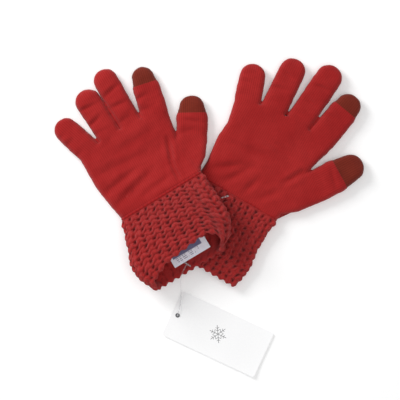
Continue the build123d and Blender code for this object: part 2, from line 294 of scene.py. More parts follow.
def coordinates(mesh):
    """The places of a mesh's vertices, in metres."""
    return triples(mesh.vertices, "co")


def vertex_normals(mesh):
    return triples(mesh.vertex_normals, "vector")


def move_to(mesh, points):
    """Moves a mesh's vertices to points in metres."""
    mesh.vertices.foreach_set("co", points.astype(np.float32).ravel())
    mesh.update()


def note(mesh, name, values):
    """Keeps three numbers for each vertex, for the material to read."""
    attribute = mesh.attributes.new(name, "FLOAT_VECTOR", "POINT")
    attribute.data.foreach_set("vector", values.astype(np.float32).ravel())


def smooth_shade(mesh):
    """Shades a mesh as one soft surface."""
    mesh.polygons.foreach_set("use_smooth", [True] * len(mesh.polygons))


def bell(distance, width):
    """1 at no distance, and down to nothing at about twice the width."""
    return np.exp(-((distance / width) ** 2))


# ---- the hands


def flat_ring(count, half_width, half_height):
    """Points (across, height) evenly round a flat tube, from its thumb side, and their outward directions."""
    straight = 2 * (half_width - half_height)
    arc = pi * half_height
    half_way = straight + arc
    around = (np.arange(count) / count * 2 * half_way + arc / 2) % (2 * half_way)
    second = around >= half_way
    along = np.where(second, around - half_way, around)
    side = np.where(second, -1, 1)
    angle = np.minimum(along, arc) / half_height - pi / 2
    outward = np.stack((side * np.cos(angle), side * np.sin(angle)), axis=1)
    points = np.stack((side * (straight / 2 - np.maximum(along - arc, 0)), np.zeros(count)), axis=1)
    return points + outward * np.reshape(half_height, (-1, 1)), outward


def filled_shell(target, node):
    """Adds a hollow CAD node's outside to target, closed over its openings."""
    shell = bmesh.new()
    shell.from_mesh(frame["nodes"][node].data)
    bmesh.ops.remove_doubles(shell, verts=shell.verts, dist=MERGE * MM)
    shell.normal_update()
    tree = BVHTree.FromBMesh(shell)
    inner = []
    for face in shell.faces:
        # a face of the inside looks at the other side of the tube
        start = face.calc_center_median() + face.normal * 0.05 * MM
        if tree.ray_cast(start, face.normal, 150 * MM)[0] is not None:
            inner.append(face)
    bmesh.ops.delete(shell, geom=inner, context="FACES")
    edges = [edge for edge in shell.edges if edge.is_boundary]
    bmesh.ops.holes_fill(shell, edges=edges, sides=0)
    bmesh.ops.recalc_face_normals(shell, faces=shell.faces)
    part = bpy.data.meshes.new("shell")
    shell.to_mesh(part)
    shell.free()
    target.from_mesh(part)
    bpy.data.meshes.remove(part)


def bridge(target, tree, run, plug, probe, origin=0.0):
    """Adds a short flat plug across the gap between two knitted tubes, at a distance along the run."""
    measured, inset, start, end = plug
    section = measured_section(tree, run, origin + measured, probe)
    centre, middle, half_width, half_height, slope = section
    place, outward = flat_ring(PLUG_SIDES, half_width, half_height)
    level, lift = (place - outward * inset).T
    rows = []
    for along in (origin + start, origin + end):
        ring = zip(centre + level - lift * slope, middle + lift + level * slope)
        rows.append([target.verts.new(run.at(across, along, height)) for across, height in ring])
    for step in range(PLUG_SIDES):
        after = (step + 1) % PLUG_SIDES
        target.faces.new((rows[0][step], rows[0][after], rows[1][after], rows[1][step]))
    target.faces.new(rows[0])
    target.faces.new(rows[1])


def tip_start(glove, finger):
    """Distance from a finger's root to its conductive tip."""
    mesh = frame["nodes"][f"{glove}_{finger}_tip"].data
    return FINGER[glove, finger].local(coordinates(mesh))[:, 1].min()


def glove_lump(glove):
    """The whole hand with its fingers as one closed, evenly meshed skin."""
    lump = bmesh.new()
    filled_shell(lump, f"{glove}_hand")
    bridge(lump, tree_of(f"{glove}_hand"), WRIST[glove], WRIST_PLUG, HAND_PROBE)
    for finger in FINGERS:
        run = FINGER[glove, finger]
        tree = tree_of(f"{glove}_{finger}")
        filled_shell(lump, f"{glove}_{finger}")
        bridge(lump, tree, run, ROOT_PLUG, FINGER_PROBE)
        if finger in TIPPED:
            filled_shell(lump, f"{glove}_{finger}_tip")
            bridge(lump, tree, run, TIP_PLUG, FINGER_PROBE, tip_start(glove, finger))
    bmesh.ops.recalc_face_normals(lump, faces=lump.faces)
    rough = bpy.data.meshes.new("lump")
    lump.to_mesh(rough)
    lump.free()
    made = new_object("lump", rough)
    remesh = made.modifiers.new("even", "REMESH")
    remesh.mode = "VOXEL"
    remesh.voxel_size = VOXEL * MM
    soften = made.modifiers.new("soften", "SMOOTH")
    soften.factor = 0.5
    soften.iterations = 14
    skin = baked(made)
    bpy.data.objects.remove(made)
    return skin


def finger_reach(glove, finger):
    """Distance from a finger's root to its end, and half its width near the root."""
    node = f"{glove}_{finger}"
    mesh = frame["nodes"][node].data
    points = FINGER[glove, finger].local(coordinates(mesh))
    root = np.abs(points[points[:, 1] < 3.0][:, 0]).max()
    length = points[:, 1].max()
    if finger in TIPPED:
        tip = coordinates(frame["nodes"][f"{node}_tip"].data)
        length = FINGER[glove, finger].local(tip)[:, 1].max()
    return length, root


# Folds of the unworn knit on each finger: (share of the length, slant, depth, width)
FINGER_FOLDS = {
    "little_finger": ((0.18, 0.10, 0.7, 4.0), (0.46, -0.16, 0.9, 3.4), (0.72, 0.12, 0.6, 3.0)),
    "ring_finger": ((0.14, -0.08, 0.6, 4.0), (0.40, 0.18, 1.0, 3.4), (0.66, -0.14, 0.8, 3.0)),
    "middle_finger": ((0.12, 0.12, 0.6, 4.4), (0.36, -0.14, 0.9, 3.6), (0.62, 0.20, 1.0, 3.2)),
    "index_finger": ((0.16, -0.12, 0.7, 4.0), (0.44, 0.12, 1.0, 3.0)),
    "thumb": ((0.10, 0.10, 0.6, 4.0), (0.34, -0.18, 0.8, 3.0)),
}

# Long soft creases on the hands: (from across, along, to across, along, depth, width), from the wrist
HAND_CREASES = {
    "right": (
        (-48.0, 12.0, 6.0, 26.0, 1.1, 4.5),
        (-50.0, 30.0, -8.0, 36.0, 0.9, 4.0),
        (-44.0, 50.0, 8.0, 46.0, 0.8, 5.0),
        (-14.0, 8.0, 24.0, 12.0, 0.8, 3.6),
        (37.0, 46.0, 27.0, 20.0, 1.7, 3.0),
        (27.0, 20.0, 25.0, 3.0, 1.4, 3.0),
        (-20.0, 60.0, 30.0, 64.0, 0.6, 5.0),
    ),
    "left": (
        (-38.0, 12.0, -10.0, 30.0, 1.0, 4.2),
        (-20.0, 6.0, -2.0, 34.0, 1.0, 4.0),
        (2.0, 5.0, 10.0, 26.0, 0.9, 3.6),
        (20.0, 8.0, 34.0, 24.0, 0.9, 4.0),
        (-42.0, 40.0, 10.0, 50.0, 0.8, 5.0),
        (-30.0, 66.0, 34.0, 62.0, 0.7, 5.0),
        (46.0, 56.0, 34.0, 34.0, 1.3, 3.4),
    ),
}


def crease(points, start, end, depth, width):
    """How far a soft crease between two points of the plan presses each point down."""
    start = np.array(start)
    line = np.array(end) - start
    share = np.clip((points[:, :2] - start) @ line / (line @ line), 0, 1)
    distance = np.linalg.norm(points[:, :2] - start - share[:, None] * line, axis=1)
    fade = np.sin(pi * np.clip(share * 0.9 + 0.05, 0, 1)) ** 0.6
    ridge = bell(distance - 1.6 * width, width)
    return depth * fade * (0.45 * ridge - bell(distance, width))


def ripple(points, scale, seed):
    """A smooth uneven surface, about -1 to 1, from a few waves in different directions."""
    waves = np.random.default_rng(seed)
    total = np.zeros(len(points))
    for _ in range(WAVES):
        angle, phase = waves.uniform(0, 2 * pi, 2)
        length = scale * waves.uniform(0.6, 1.7)
        total += np.sin((points[:, 0] * cos(angle) + points[:, 1] * sin(angle)) * 2 * pi / length + phase)
    return total / (WAVES / 2)


def over_finger(own, reach, beside, beyond):
    """The points past a finger's root that are not far beside it or beyond its end."""
    length, root = reach
    return (own[:, 1] > 0) & (np.abs(own[:, 0]) < root + beside) & (own[:, 1] < length + beyond)


def shape_hand(skin, glove, reaches):
    """Gives the even skin its creases, its folds and its fuller finger ends."""
    points = coordinates(skin)
    normals = vertex_normals(skin)
    local = WRIST[glove].local(points)
    upward = np.clip(normals[:, 2], 0, 1)
    lift = np.zeros(len(points))
    for *ends, depth, width in HAND_CREASES[glove]:
        lift += crease(local, ends[:2], ends[2:], depth, width)
    broad, fine = WAVE_SEEDS[glove]
    lift = FOLD_DEPTH * lift + BROAD_WAVE[0] * ripple(local, BROAD_WAVE[1], broad)
    swell = FINE_WAVE[0] * ripple(local, FINE_WAVE[1], fine)
    for finger in FINGERS:
        length = reaches[finger][0]
        own = FINGER[glove, finger].local(points)
        inside = over_finger(own, reaches[finger], beside=4.0, beyond=6.0)
        for share, slant, depth, width in FINGER_FOLDS[finger]:
            distance = own[:, 1] - share * length - slant * own[:, 0]
            fold = depth * (RIDGE * bell(distance - 1.5 * width, width) - bell(distance, width * 0.8))
            one_side = 0.5 + 0.5 * np.sin(own[:, 0] * 0.17 + share * 23.0)
            lift += np.where(inside, FOLD_DEPTH * fold * one_side, 0)
        if finger in TIPPED:
            seam = tip_start(glove, finger)
            below = FULL_BELOW_TIP * bell(own[:, 1] - seam + 5.0, 4.5)
            above = -TIP_TIGHT * (own[:, 1] > seam)
            swell += np.where(inside, below + above, 0)
        else:
            swell += np.where(inside, FULL_END * bell(own[:, 1] - 0.72 * length, 0.22 * length), 0)
    points[:, 2] += lift * upward * MM
    points += normals * (swell * np.clip(1 - np.abs(normals[:, 2]) * 0.3, 0, 1))[:, None] * MM
    points[:, 2] = np.maximum(points[:, 2], FLOOR_GAP * MM)
    move_to(skin, points)


def knit_coordinates(own, normals):
    """(across the wales, along the courses) for each point, carried round the tube's side edges."""
    level = np.clip(np.hypot(normals[:, 0], normals[:, 1]), 0, 1)
    wrap = SIDE_ROUND * (np.arcsin(level) - level)
    across = np.sign(own[:, 0]) * (np.abs(own[:, 0]) + wrap)
    return across, own[:, 1]


def cut_hand(skin, glove, reaches):
    """Splits the skin into the hand, the fingers and the conductive tips, which meet edge to edge."""
    work = bmesh.new()
    work.from_mesh(skin)
    for finger in FINGERS:
        run = FINGER[glove, finger]
        root = reaches[finger][1]
        cuts = [(0.0, root + 1.0)]  # narrow at the root, beside the next finger
        if finger in TIPPED:
            cuts.append((tip_start(glove, finger), root + 5.0))
        for level, half_width in cuts:
            near = []
            for face in work.faces:
                own = run.local(np.array(face.calc_center_median()))
                if abs(own[1] - level) < 3.0 and abs(own[0]) < half_width:
                    near.append(face)
            geometry = near + list({edge for face in near for edge in face.edges})
            geometry += list({vertex for face in near for vertex in face.verts})
            bmesh.ops.bisect_plane(work, geom=geometry, plane_co=run.at(0, level, 6.0), plane_no=run.along)
    bmesh.ops.triangulate(work, faces=[face for face in work.faces if len(face.verts) > 4])
    work.normal_update()
    whole = bpy.data.meshes.new("whole")
    work.to_mesh(whole)
    work.free()
    return whole


def name_faces(whole, glove, reaches):
    """The piece that each face belongs to."""
    centres = triples(whole.polygons, "center")
    owner = np.full(len(centres), "hand", dtype=object)
    best = np.full(len(centres), np.inf)
    for finger in FINGERS:
        own = FINGER[glove, finger].local(centres)
        closeness = np.abs(own[:, 0]) / reaches[finger][1]
        mine = over_finger(own, reaches[finger], beside=3.0 if finger == "thumb" else 5.0, beyond=8.0)
        mine &= closeness < best
        best[mine] = closeness[mine]
        owner[mine] = finger
        if finger in TIPPED:
            owner[mine & (own[:, 1] > tip_start(glove, finger))] = f"{finger}_tip"
    return owner


def open_wrist(points, normals, faces, glove):
    """Opens the wrist end of the hand's skin, and lines it with the inside of the knit."""
    run = WRIST[glove]
    tree = tree_of(f"{glove}_hand")
    local = run.local(points)
    kept = []
    for face in faces:
        middle = local[list(face)].mean(axis=0)
        facing = normals[list(face)].mean(axis=0) @ np.array(run.along)
        if middle[1] >= END_BAND - LAP or facing >= -END_FACING:
            kept.append(face)
    used = dict.fromkeys(edge for face in kept for edge in zip(face, face[1:] + face[:1]))
    rim = [edge for edge in used if edge[::-1] not in used and max(local[list(edge), 1]) < RIM_LIMIT]
    loop = sorted({index for edge in rim for index in edge})
    outer = measured_section(tree, run, 1.0)
    rings = []
    for along, inset in ((None, INSIDE), (POCKET, INSIDE + 1.0)):
        section = outer if along is None else measured_section(tree, run, along)
        level = (local[loop, 0] - outer[0]) / outer[2] * (section[2] - inset)
        lift = (local[loop, 2] - outer[1] - level * outer[4]) / outer[3] * (section[3] - inset)
        ring = local[loop].copy()
        ring[:, 0] = section[0] + level
        ring[:, 1] = ring[:, 1] if along is None else along
        ring[:, 2] = section[1] + lift + level * section[4]
        rings.append(ring)
    inner, deep = rings
    end = deep.mean(axis=0)[None, :]  # one point closes the pocket
    count = len(points)
    place = {index: count + order for order, index in enumerate(loop)}
    size = len(loop)
    for first, second in rim:
        near, far = place[first], place[second]
        kept.append((second, first, near, far))
        kept.append((far, near, near + size, far + size))
        kept.append((far + size, near + size, count + 2 * size))
    points = np.concatenate((points, run.world(inner), run.world(deep), run.world(end)))
    # a normal of zero leaves the inside's shading to Blender
    normals = np.concatenate((normals, np.zeros((2 * size + 1, 3))))
    return points, normals, kept


def make_hand_pieces(glove):
    """The hand, finger and tip pieces of one glove, with shading that runs on over their edges."""
    reaches = {finger: finger_reach(glove, finger) for finger in FINGERS}
    skin = glove_lump(glove)
    shape_hand(skin, glove, reaches)
    whole = cut_hand(skin, glove, reaches)
    owner = name_faces(whole, glove, reaches)
    points = coordinates(whole)
    normals = vertex_normals(whole)
    corners = [tuple(face.vertices) for face in whole.polygons]
    made = {}
    for name in sorted(set(owner)):
        chosen = np.flatnonzero(owner == name)
        used = sorted({index for face in chosen for index in corners[face]})
        place = {index: count for count, index in enumerate(used)}
        own_points, own_normals = points[used], normals[used]
        faces = [tuple(place[index] for index in corners[face]) for face in chosen]
        run = WRIST[glove] if name == "hand" else FINGER[glove, name.removesuffix("_tip")]
        if name == "hand":
            own_points, own_normals, faces = open_wrist(own_points, own_normals, faces, glove)
        mesh = mesh_of(f"{glove}_{name}_knit", own_points, faces)
        across, along = knit_coordinates(run.local(own_points), own_normals)
        note(mesh, "yarn", np.stack((across, along, np.zeros(len(across))), axis=1))
        note(mesh, "place", own_points / MM)
        smooth_shade(mesh)
        mesh.normals_split_custom_set_from_vertices([tuple(normal) for normal in own_normals])
        made[name] = new_object(f"{glove}_{name}_knit", mesh)
    bpy.data.meshes.remove(skin)
    bpy.data.meshes.remove(whole)
    return made


# ---- the cuffs


def cuff_sections(glove, stations, top_end):
    """The cuff's measured sections at distances behind the wrist, smoothed from one to the next."""
    tree = tree_of(f"{glove}_cuff")
    run = WRIST[glove]
    known = []
    for station in np.arange(FIRST_SECTION, top_end - SECTION_STEP, SECTION_STEP):
        known.append((station, *measured_section(tree, run, -station)))
    half_height, slope = known[-1][4:]
    for station in np.arange(known[-1][0] + 2 * SECTION_STEP, LAST_SECTION, SECTION_STEP):
        section = lower_section(tree, run, -station, half_height, slope)
        if section is not None:
            known.append((station, *section))
    known = np.array(known)
    smooth = known.copy()
    for index, station in enumerate(known[:, 0]):
        weight = bell(known[:, 0] - station, SECTION_BLUR)
        smooth[index, 1:] = (known[:, 1:] * weight[:, None]).sum(0) / weight.sum()
    return np.stack([np.interp(stations, smooth[:, 0], smooth[:, column]) for column in range(1, 6)], 1)


def layer_end(glove, direction):
    """How far behind the wrist the cuff's top or bottom layer ends, along its middle."""
    tree = tree_of(f"{glove}_cuff")
    run = WRIST[glove]
    for station in np.arange(LONGEST_CUFF, SHORTEST_CUFF, -END_STEP):
        top, bottom = (hit(tree, run.at(CUFF_MIDDLE, -station, 0), side) for side in (UP, -UP))
        if top is None or bottom is None:
            continue
        if direction.z < 0 or (top - bottom).length >= BOTH_LAYERS * MM:
            return station


def rib_relief(column, row):
    """Height of the chunky rib over its backing: fat V stitches up each column, and holes between them."""
    # the ribs wander a little, and each stitch is a little fatter or thinner than the next
    column = column + 0.07 * np.sin(row * 2.1 + column * 0.9) + 0.04 * np.sin(row * 4.7 - column * 2.3)
    aside = np.abs(column % 1.0 - 0.5)
    stitch = row - V_SLANT * aside
    own = np.floor(column).astype(int) % RIB_COLUMNS
    fat = YARN_JITTER[0, own, np.clip(np.floor(stitch + 1).astype(int), 0, RIB_ROWS)]
    leg = np.clip(1 - ((aside - LEG_PLACE) / (LEG_WIDTH + 0.02 * fat)) ** 2, 0, 1) ** 0.6
    loop = np.abs(np.sin(pi * stitch)) ** 0.7
    beside = np.round(column).astype(int) % RIB_COLUMNS
    upper = np.clip(np.floor(row).astype(int), 0, RIB_ROWS)
    shift, depth, wide = YARN_JITTER[:, beside, upper]
    away = (row - np.floor(row) - 0.5 - 0.16 * shift) * RIB_ROW
    apart = (column - np.round(column) + 0.03 * depth) * RIB_COLUMN + 0.5 * shift * away
    hole = bell(apart, HOLE_ACROSS + 0.5 * wide) * bell(away, HOLE_ALONG + 0.4 * depth)
    bar = bell(0.5 - aside, 0.16) * (0.5 + 0.5 * np.cos(2 * pi * row)) * (BAR_HEIGHT + 0.4 * wide)
    fuzz = 0.18 * np.sin(column * 37 + row * 5) * np.sin(row * 31 - column * 7)
    legs = (LEG_HEIGHT + 0.5 * fat) * leg * (0.3 + 0.7 * loop)
    return legs + bar - (HOLE_DEPTH + 0.8 * depth) * hole + fuzz


class CuffShape:
    """A flat tube's surface, by column round it and distance behind the wrist."""

    def __init__(self, glove):
        self.count = RIB_COLUMNS * COLUMN_STEPS
        top_end, bottom_end = layer_end(glove, UP), layer_end(glove, -UP)
        self.stations = np.linspace(CUFF_START, bottom_end, SECTION_COUNT)
        self.sections = cuff_sections(glove, self.stations, top_end)
        place, outward = flat_ring(self.count, OPEN_WIDTH, OPEN_HEIGHT)
        upper = 0.5 + 0.5 * outward[:, 1]
        pulled_back = upper * upper * (3 - 2 * upper) * np.interp(place[:, 0] / OPEN_WIDTH, *MOUTH_LIP)
        self.ends = bottom_end - (bottom_end - top_end) * pulled_back
        self.columns = np.arange(self.count) / COLUMN_STEPS

    def ring(self, share, inset, relief):
        """One ring of points: share of the way to the mouth, inset from the surface, with its relief."""
        scallop = SCALLOP * np.cos(2 * pi * (self.columns + 0.5)) * min(share, 1.0) ** 8
        reach = CUFF_START + share * (self.ends + scallop - CUFF_START)
        table = [np.interp(reach, self.stations, self.sections[:, column]) for column in range(5)]
        centre, middle, half_width, half_height, slope = table
        place, outward = flat_ring(self.count, np.round(half_width, 1), np.round(half_height, 1))
        level, lift = (place + outward * (relief - inset)[:, None]).T
        return np.stack((centre + level - lift * slope, -reach, middle + lift + level * slope), axis=1)


def make_cuff(glove):
    """A chunky cuff: ribbed outside, rounded mouth and plainer inside, as one closed wall."""
    shape = CuffShape(glove)
    points = []
    notes = []

    def add(share, inset, row, strength):
        """One ring of the wall, and what its material reads: rib, row and relief."""
        columns = shape.columns
        rows = np.full(shape.count, row)
        relief = rib_relief(columns, rows)
        sway = 0.35 * np.sin(columns * 1.7 + row * 2.3) + 0.25 * np.sin(columns * 4.1 - row * 1.1)
        points.append(shape.ring(share, inset, (relief + sway) * strength))
        notes.append(np.stack((columns, rows, relief), axis=1))

    rings = RIB_ROWS * ROW_STEPS
    for step in range(rings + 1):
        share = step / rings
        add(share, RIB_INSET, share * RIB_ROWS, min(1.0, START_RELIEF + share * RIB_ROWS))
    for step in range(1, LIP_STEPS):
        angle = pi * step / LIP_STEPS
        inset = RIB_INSET + (1 - cos(angle)) * LIP_RADIUS
        add(1 + LIP_REACH * sin(angle), inset, RIB_ROWS, LIP_RELIEF * cos(angle / 2))
    for step in range(LINING_STEPS + 1):
        share = 1 - step / LINING_STEPS
        add(share, LINING_INSET, share * RIB_ROWS, LINING_RELIEF)
    return knitted_tube(f"{glove}_cuff_rib", glove, points, notes)


def knitted_tube(name, glove, rings, notes):
    """A tube of rings in the glove's directions whose last ring joins its first."""
    count = len(rings[0])
    faces = grid_faces(len(rings), count, True)
    first_of_last = (len(rings) - 1) * count
    for index in range(count):
        beside = (index + 1) % count
        faces.append((first_of_last + index, first_of_last + beside, beside, index))
    points = np.concatenate(rings)
    points[:, 2] = np.maximum(points[:, 2], FLOOR_GAP)
    mesh = mesh_of(name, WRIST[glove].world(points), faces)
    note(mesh, "yarn", np.concatenate(notes))
    note(mesh, "place", coordinates(mesh) / MM)
    smooth_shade(mesh)
    return new_object(name, mesh)


def make_wrist_seam(glove):
    """The linked seam: a soft low cord of small stitches round the wrist."""
    section = cuff_sections(glove, [LINK_SECTION], layer_end(glove, UP))[0]
    centre, middle, half_width, half_height, slope = section
    place, outward = flat_ring(LINK_STEPS, half_width, half_height)
    around = np.arange(LINK_STEPS)
    stitch = np.abs(np.sin(around * pi * LINK_STITCHES / LINK_STEPS)) ** 0.5
    points = []
    notes = []
    for side in range(LINK_SIDES):
        angle = 2 * pi * side / LINK_SIDES
        offset = -LINK_SUNK + cos(angle) * (LINK_RADIUS + LINK_SWELL * stitch)
        level, lift = (place + outward * offset[:, None]).T
        along = np.full(LINK_STEPS, -LINK_BEHIND + sin(angle) * LINK_BEHIND)
        points.append(np.stack((centre + level - lift * slope, along, middle + lift + level * slope), 1))
        turn = np.full(LINK_STEPS, side / LINK_SIDES)
        notes.append(np.stack((around * LINK_STITCHES / LINK_STEPS, turn, stitch), axis=1))
    return knitted_tube(f"{glove}_wrist_linking", glove, points, notes)


# ---- the tag, the label and the filament


def make_tag():
    """The card of the swing tag: rounded corners, a punched hole and a little curl towards its far end."""
    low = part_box("swing_tag")[0]
    hole = np.array(JOINTS["tag_swing"]["pos_m"])
    points = coordinates(frame["nodes"]["swing_tag"].data)
    offset = points - hole
    far = offset[np.argmax(np.hypot(offset[:, 0], offset[:, 1]))]
    flat = points[:, :2] - points[:, :2].mean(axis=0)
    along = np.linalg.svd(flat, full_matrices=False)[2][0]
    along = along * np.sign(along @ far[:2])
    across = np.array((-along[1], along[0]))
    reach = offset[:, :2] @ along / MM
    start, end = reach.min(), reach.max()
    middle = (start + end) / 2
    half = (offset[:, :2] @ across / MM).max()
    columns, rows = TAG_GRID
    u, v = every_pair(np.linspace(start, end, columns), np.linspace(-half, half, rows))
    for corner_u in (start + TAG_CORNER, end - TAG_CORNER):
        for corner_v in (-half + TAG_CORNER, half - TAG_CORNER):
            away_u, away_v = u - corner_u, v - corner_v
            outside = (away_u * np.sign(corner_u - middle) > 0) & (away_v * np.sign(corner_v) > 0)
            square = np.maximum(np.abs(away_u), np.abs(away_v))
            round_off = np.where(outside, square / np.maximum(np.hypot(away_u, away_v), TINY), 1.0)
            u, v = corner_u + away_u * round_off, corner_v + away_v * round_off
    distance = np.hypot(u, v)
    near = distance < TAG_PUNCH + PUNCH_BAND
    u = np.where(near, u / np.maximum(distance, TINY) * TAG_PUNCH, u)
    v = np.where(near, v / np.maximum(distance, TINY) * TAG_PUNCH, v)
    # it settles beyond the hole, one long edge lifts, and the far end turns up
    settle = np.clip((u - 4) / 50, 0, 1)
    lift = -0.9 * settle * settle * (3 - 2 * settle)
    edge = 1.6 * np.clip(-v / half, 0, 1) ** 3 * np.clip(u / 60, 0, 1)
    lift += edge + 0.9 * np.clip((u - 75) / 25, 0, 1) ** 2
    height = low.z + (TAG_RAISE + lift) * MM
    place = hole[:2] + (u[:, None] * along + v[:, None] * across) * MM
    faces = [face for face in grid_faces(rows, columns, False) if not near[list(face)].all()]
    mesh = mesh_of("swing_tag_card", np.column_stack((place, height)), faces)
    note(mesh, "face", np.stack((u - middle, v, np.zeros(len(u))), axis=1))
    return thickened("swing_tag_card", mesh, TAG_THICK)


def thickened(name, mesh, thickness):
    """A thin sheet with a real thickness."""
    made = new_object(name, mesh)
    tidy = bmesh.new()
    tidy.from_mesh(mesh)
    loose = [vertex for vertex in tidy.verts if not vertex.link_faces]
    bmesh.ops.delete(tidy, geom=loose, context="VERTS")
    tidy.to_mesh(mesh)
    tidy.free()
    solid = made.modifiers.new("thickness", "SOLIDIFY")
    solid.thickness = thickness * MM
    solid.offset = 0
    made.data = baked(made)
    made.modifiers.clear()
    smooth_shade(made.data)
    made.data.set_sharp_from_angle(angle=0.7)
    return made


def make_label():
    """The satin care label: lies on the cuff's inside, and its free edge lifts a little."""
    run = WRIST["right"]
    local = run.local(coordinates(frame["nodes"]["care_label"].data))
    terms = np.column_stack((np.ones(len(local)), local[:, 0], local[:, 1]))
    level, tilt, climb = np.linalg.lstsq(terms, local[:, 2], rcond=None)[0]
    left, lower = local[:, :2].min(axis=0)
    right, upper = local[:, :2].max(axis=0)
    columns, rows = LABEL_GRID
    share_u, share_v = every_pair(np.linspace(0, 1, columns), np.linspace(0, 1, rows))
    across = left + share_u * (right - left)
    along = lower + share_v * (upper - lower)
    free = np.clip(1 - share_v * 1.6, 0, 1)
    lift = 0.9 * free ** 2 + 0.3 * np.sin(share_u * 7.0 + share_v * 3.0) * (0.3 + free) + LABEL_RAISE
    points = np.stack((across, along, level + tilt * across + climb * along + lift), axis=1)
    mesh = mesh_of("care_label_satin", run.world(points), grid_faces(rows, columns, False))
    note(mesh, "face", np.stack((share_u, share_v, np.zeros(len(share_u))), axis=1))
    return thickened("care_label_satin", mesh, LABEL_THICK)


def make_filament():
    """The clear filament from the label to the tag."""
    line = bpy.data.curves.new("tag_filament_line", "CURVE")
    line.dimensions = "3D"
    line.bevel_depth = FILAMENT_THICK / 2 / POINT_RADIUS
    line.bevel_resolution = 4
    line.resolution_u = 12
    line.use_fill_caps = True
    spline = line.splines.new("NURBS")
    spline.points.add(len(FILAMENT_ROUTE) - 1)
    for point, place in zip(spline.points, FILAMENT_ROUTE):
        point.co = (*place, 1.0)
        point.radius = POINT_RADIUS
    spline.order_u = 3
    spline.use_endpoint_u = True
    return new_object("tag_filament_line", line)


# ---- finishes

FELTED = {"Specular_IOR_Level": 0.08, "Sheen_Weight": 0.12, "Sheen_Roughness": 0.55}
# RED_SHADE and CAP_SHADE are painted shade for the knits' grooves and low stitches, and the dark hole red is
# painted shade in the cuffs' holes; RED_LIGHT is a lighter tone of the yarn, and in the cuffs also a painted
# highlight on the stitches' crowns
RED_SHADE, RED, RED_LIGHT = (0.190, 0.0050, 0.0050), (0.335, 0.0110, 0.0115), (0.450, 0.0240, 0.0230)
HOLE_SHADE_RED, CHUNKY_RED = (0.160, 0.0036, 0.0040), (0.310, 0.0090, 0.0090)
CAP_SHADE, CAP_BROWN, CAP_LIGHT = (0.080, 0.0070, 0.0035), (0.160, 0.0155, 0.0080), (0.240, 0.0300, 0.0140)


class Value:
    """A number or colour that changes over a surface: an expression on values adds its Math nodes."""

    def __init__(self, finish, socket):
        self.finish = finish
        self.socket = socket

    def reckon(self, operation, *terms):
        return self.finish.node("Math", {"operation": operation}, dict(enumerate(terms)))

    def __add__(self, other):
        return self.reckon("ADD", self, other)

    def __sub__(self, other):
        return self.reckon("SUBTRACT", self, other)

    def __rsub__(self, other):
        return self.reckon("SUBTRACT", other, self)

    def __mul__(self, other):
        return self.reckon("MULTIPLY", self, other)

    def __truediv__(self, other):
        return self.reckon("DIVIDE", self, other)

    def __mod__(self, other):
        return self.reckon("FLOORED_MODULO", self, other)

    def __pow__(self, other):
        return self.reckon("POWER", self, other)

    def __abs__(self):
        return self.reckon("ABSOLUTE", self)

    __radd__ = __add__
    __rmul__ = __mul__

    def sine(self):
        return self.reckon("SINE", self)

    def cosine(self):
        return self.reckon("COSINE", self)

    def at_least(self, other):
        return self.reckon("MAXIMUM", self, other)

    def within(self, first, last):
        """1 between two soft edges, each given by where it starts and where it ends."""
        return self.rise(*first) * (1 - self.rise(*last))

    def rise(self, start, end):
        """0 below start and 1 above end, and smooth between them."""
        return self.finish.node("MapRange", {"interpolation_type": "SMOOTHSTEP"},
                                {"Value": self, "From Min": start, "From Max": end})

    def part(self, index):
        """One of a vector's three numbers."""
        return self.finish.node("SeparateXYZ", {}, {0: self}, index)


class Finish:
    """One material, built node by node on its shader."""

    def __init__(self, name, **constants):
        self.material = bpy.data.materials.new(name)
        self.material.use_nodes = True
        self.tree = self.material.node_tree
        self.shader = self.tree.nodes["Principled BSDF"]
        for socket, value in constants.items():
            self.shader.inputs[socket.replace("_", " ")].default_value = value

    def join(self, node, sockets):
        for key, value in sockets.items():
            if isinstance(value, Value):
                self.tree.links.new(value.socket, node.inputs[key])
            elif isinstance(value, tuple) and node.inputs[key].type == "RGBA":
                node.inputs[key].default_value = (*value, 1.0)
            else:
                node.inputs[key].default_value = value

    def node(self, kind, settings, sockets, output=0):
        made = self.tree.nodes.new(f"ShaderNode{kind}")
        for name, value in settings.items():
            setattr(made, name, value)
        self.join(made, sockets)
        return Value(self, made.outputs[output])

    def noted(self, name):
        """Three numbers kept on the mesh."""
        return self.node("Attribute", {"attribute_name": name}, {}, "Vector")

    def scaled(self, vector, scale):
        return self.node("VectorMath", {"operation": "MULTIPLY"}, {0: vector, 1: scale}, 0)

    def noise(self, vector, scale, detail):
        """Uneven patches of about 1 / scale, from 0 to 1."""
        return self.node("TexNoise", {}, {"Vector": vector, "Scale": scale, "Detail": detail})

    def colour(self, share, low, high):
        """The colour at a share of the way from low to high."""
        return self.node("Mix", {"data_type": "RGBA"}, {0: share, 6: low, 7: high}, 2)

    def paint(self, colour, roughness, height, thick, strength=1.0):
        """Joins what varies to the shader. A height of 1 stands thick metres over the surface."""
        normal = self.node("Bump", {}, {"Strength": strength, "Distance": thick, "Height": height})
        self.join(self.shader, {"Base Color": colour, "Roughness": roughness, "Normal": normal})
        return self.material


def jersey(finish):
    """(height, groove) of fine stitches: V shapes up each wale, with a groove between two wales."""
    yarn = finish.noted("yarn")
    across, along = yarn.part(0), yarn.part(1)
    aside = abs((across / WALE) % 1.0 - 0.5)
    leg = 1 - abs(aside - 0.25) * 4
    row = (along / COURSE + aside * 1.3) % 1.0
    loop = 1 - abs(row - 0.5) * 2
    return leg * (0.4 + 0.6 * loop), aside.rise(0.3, 0.5)


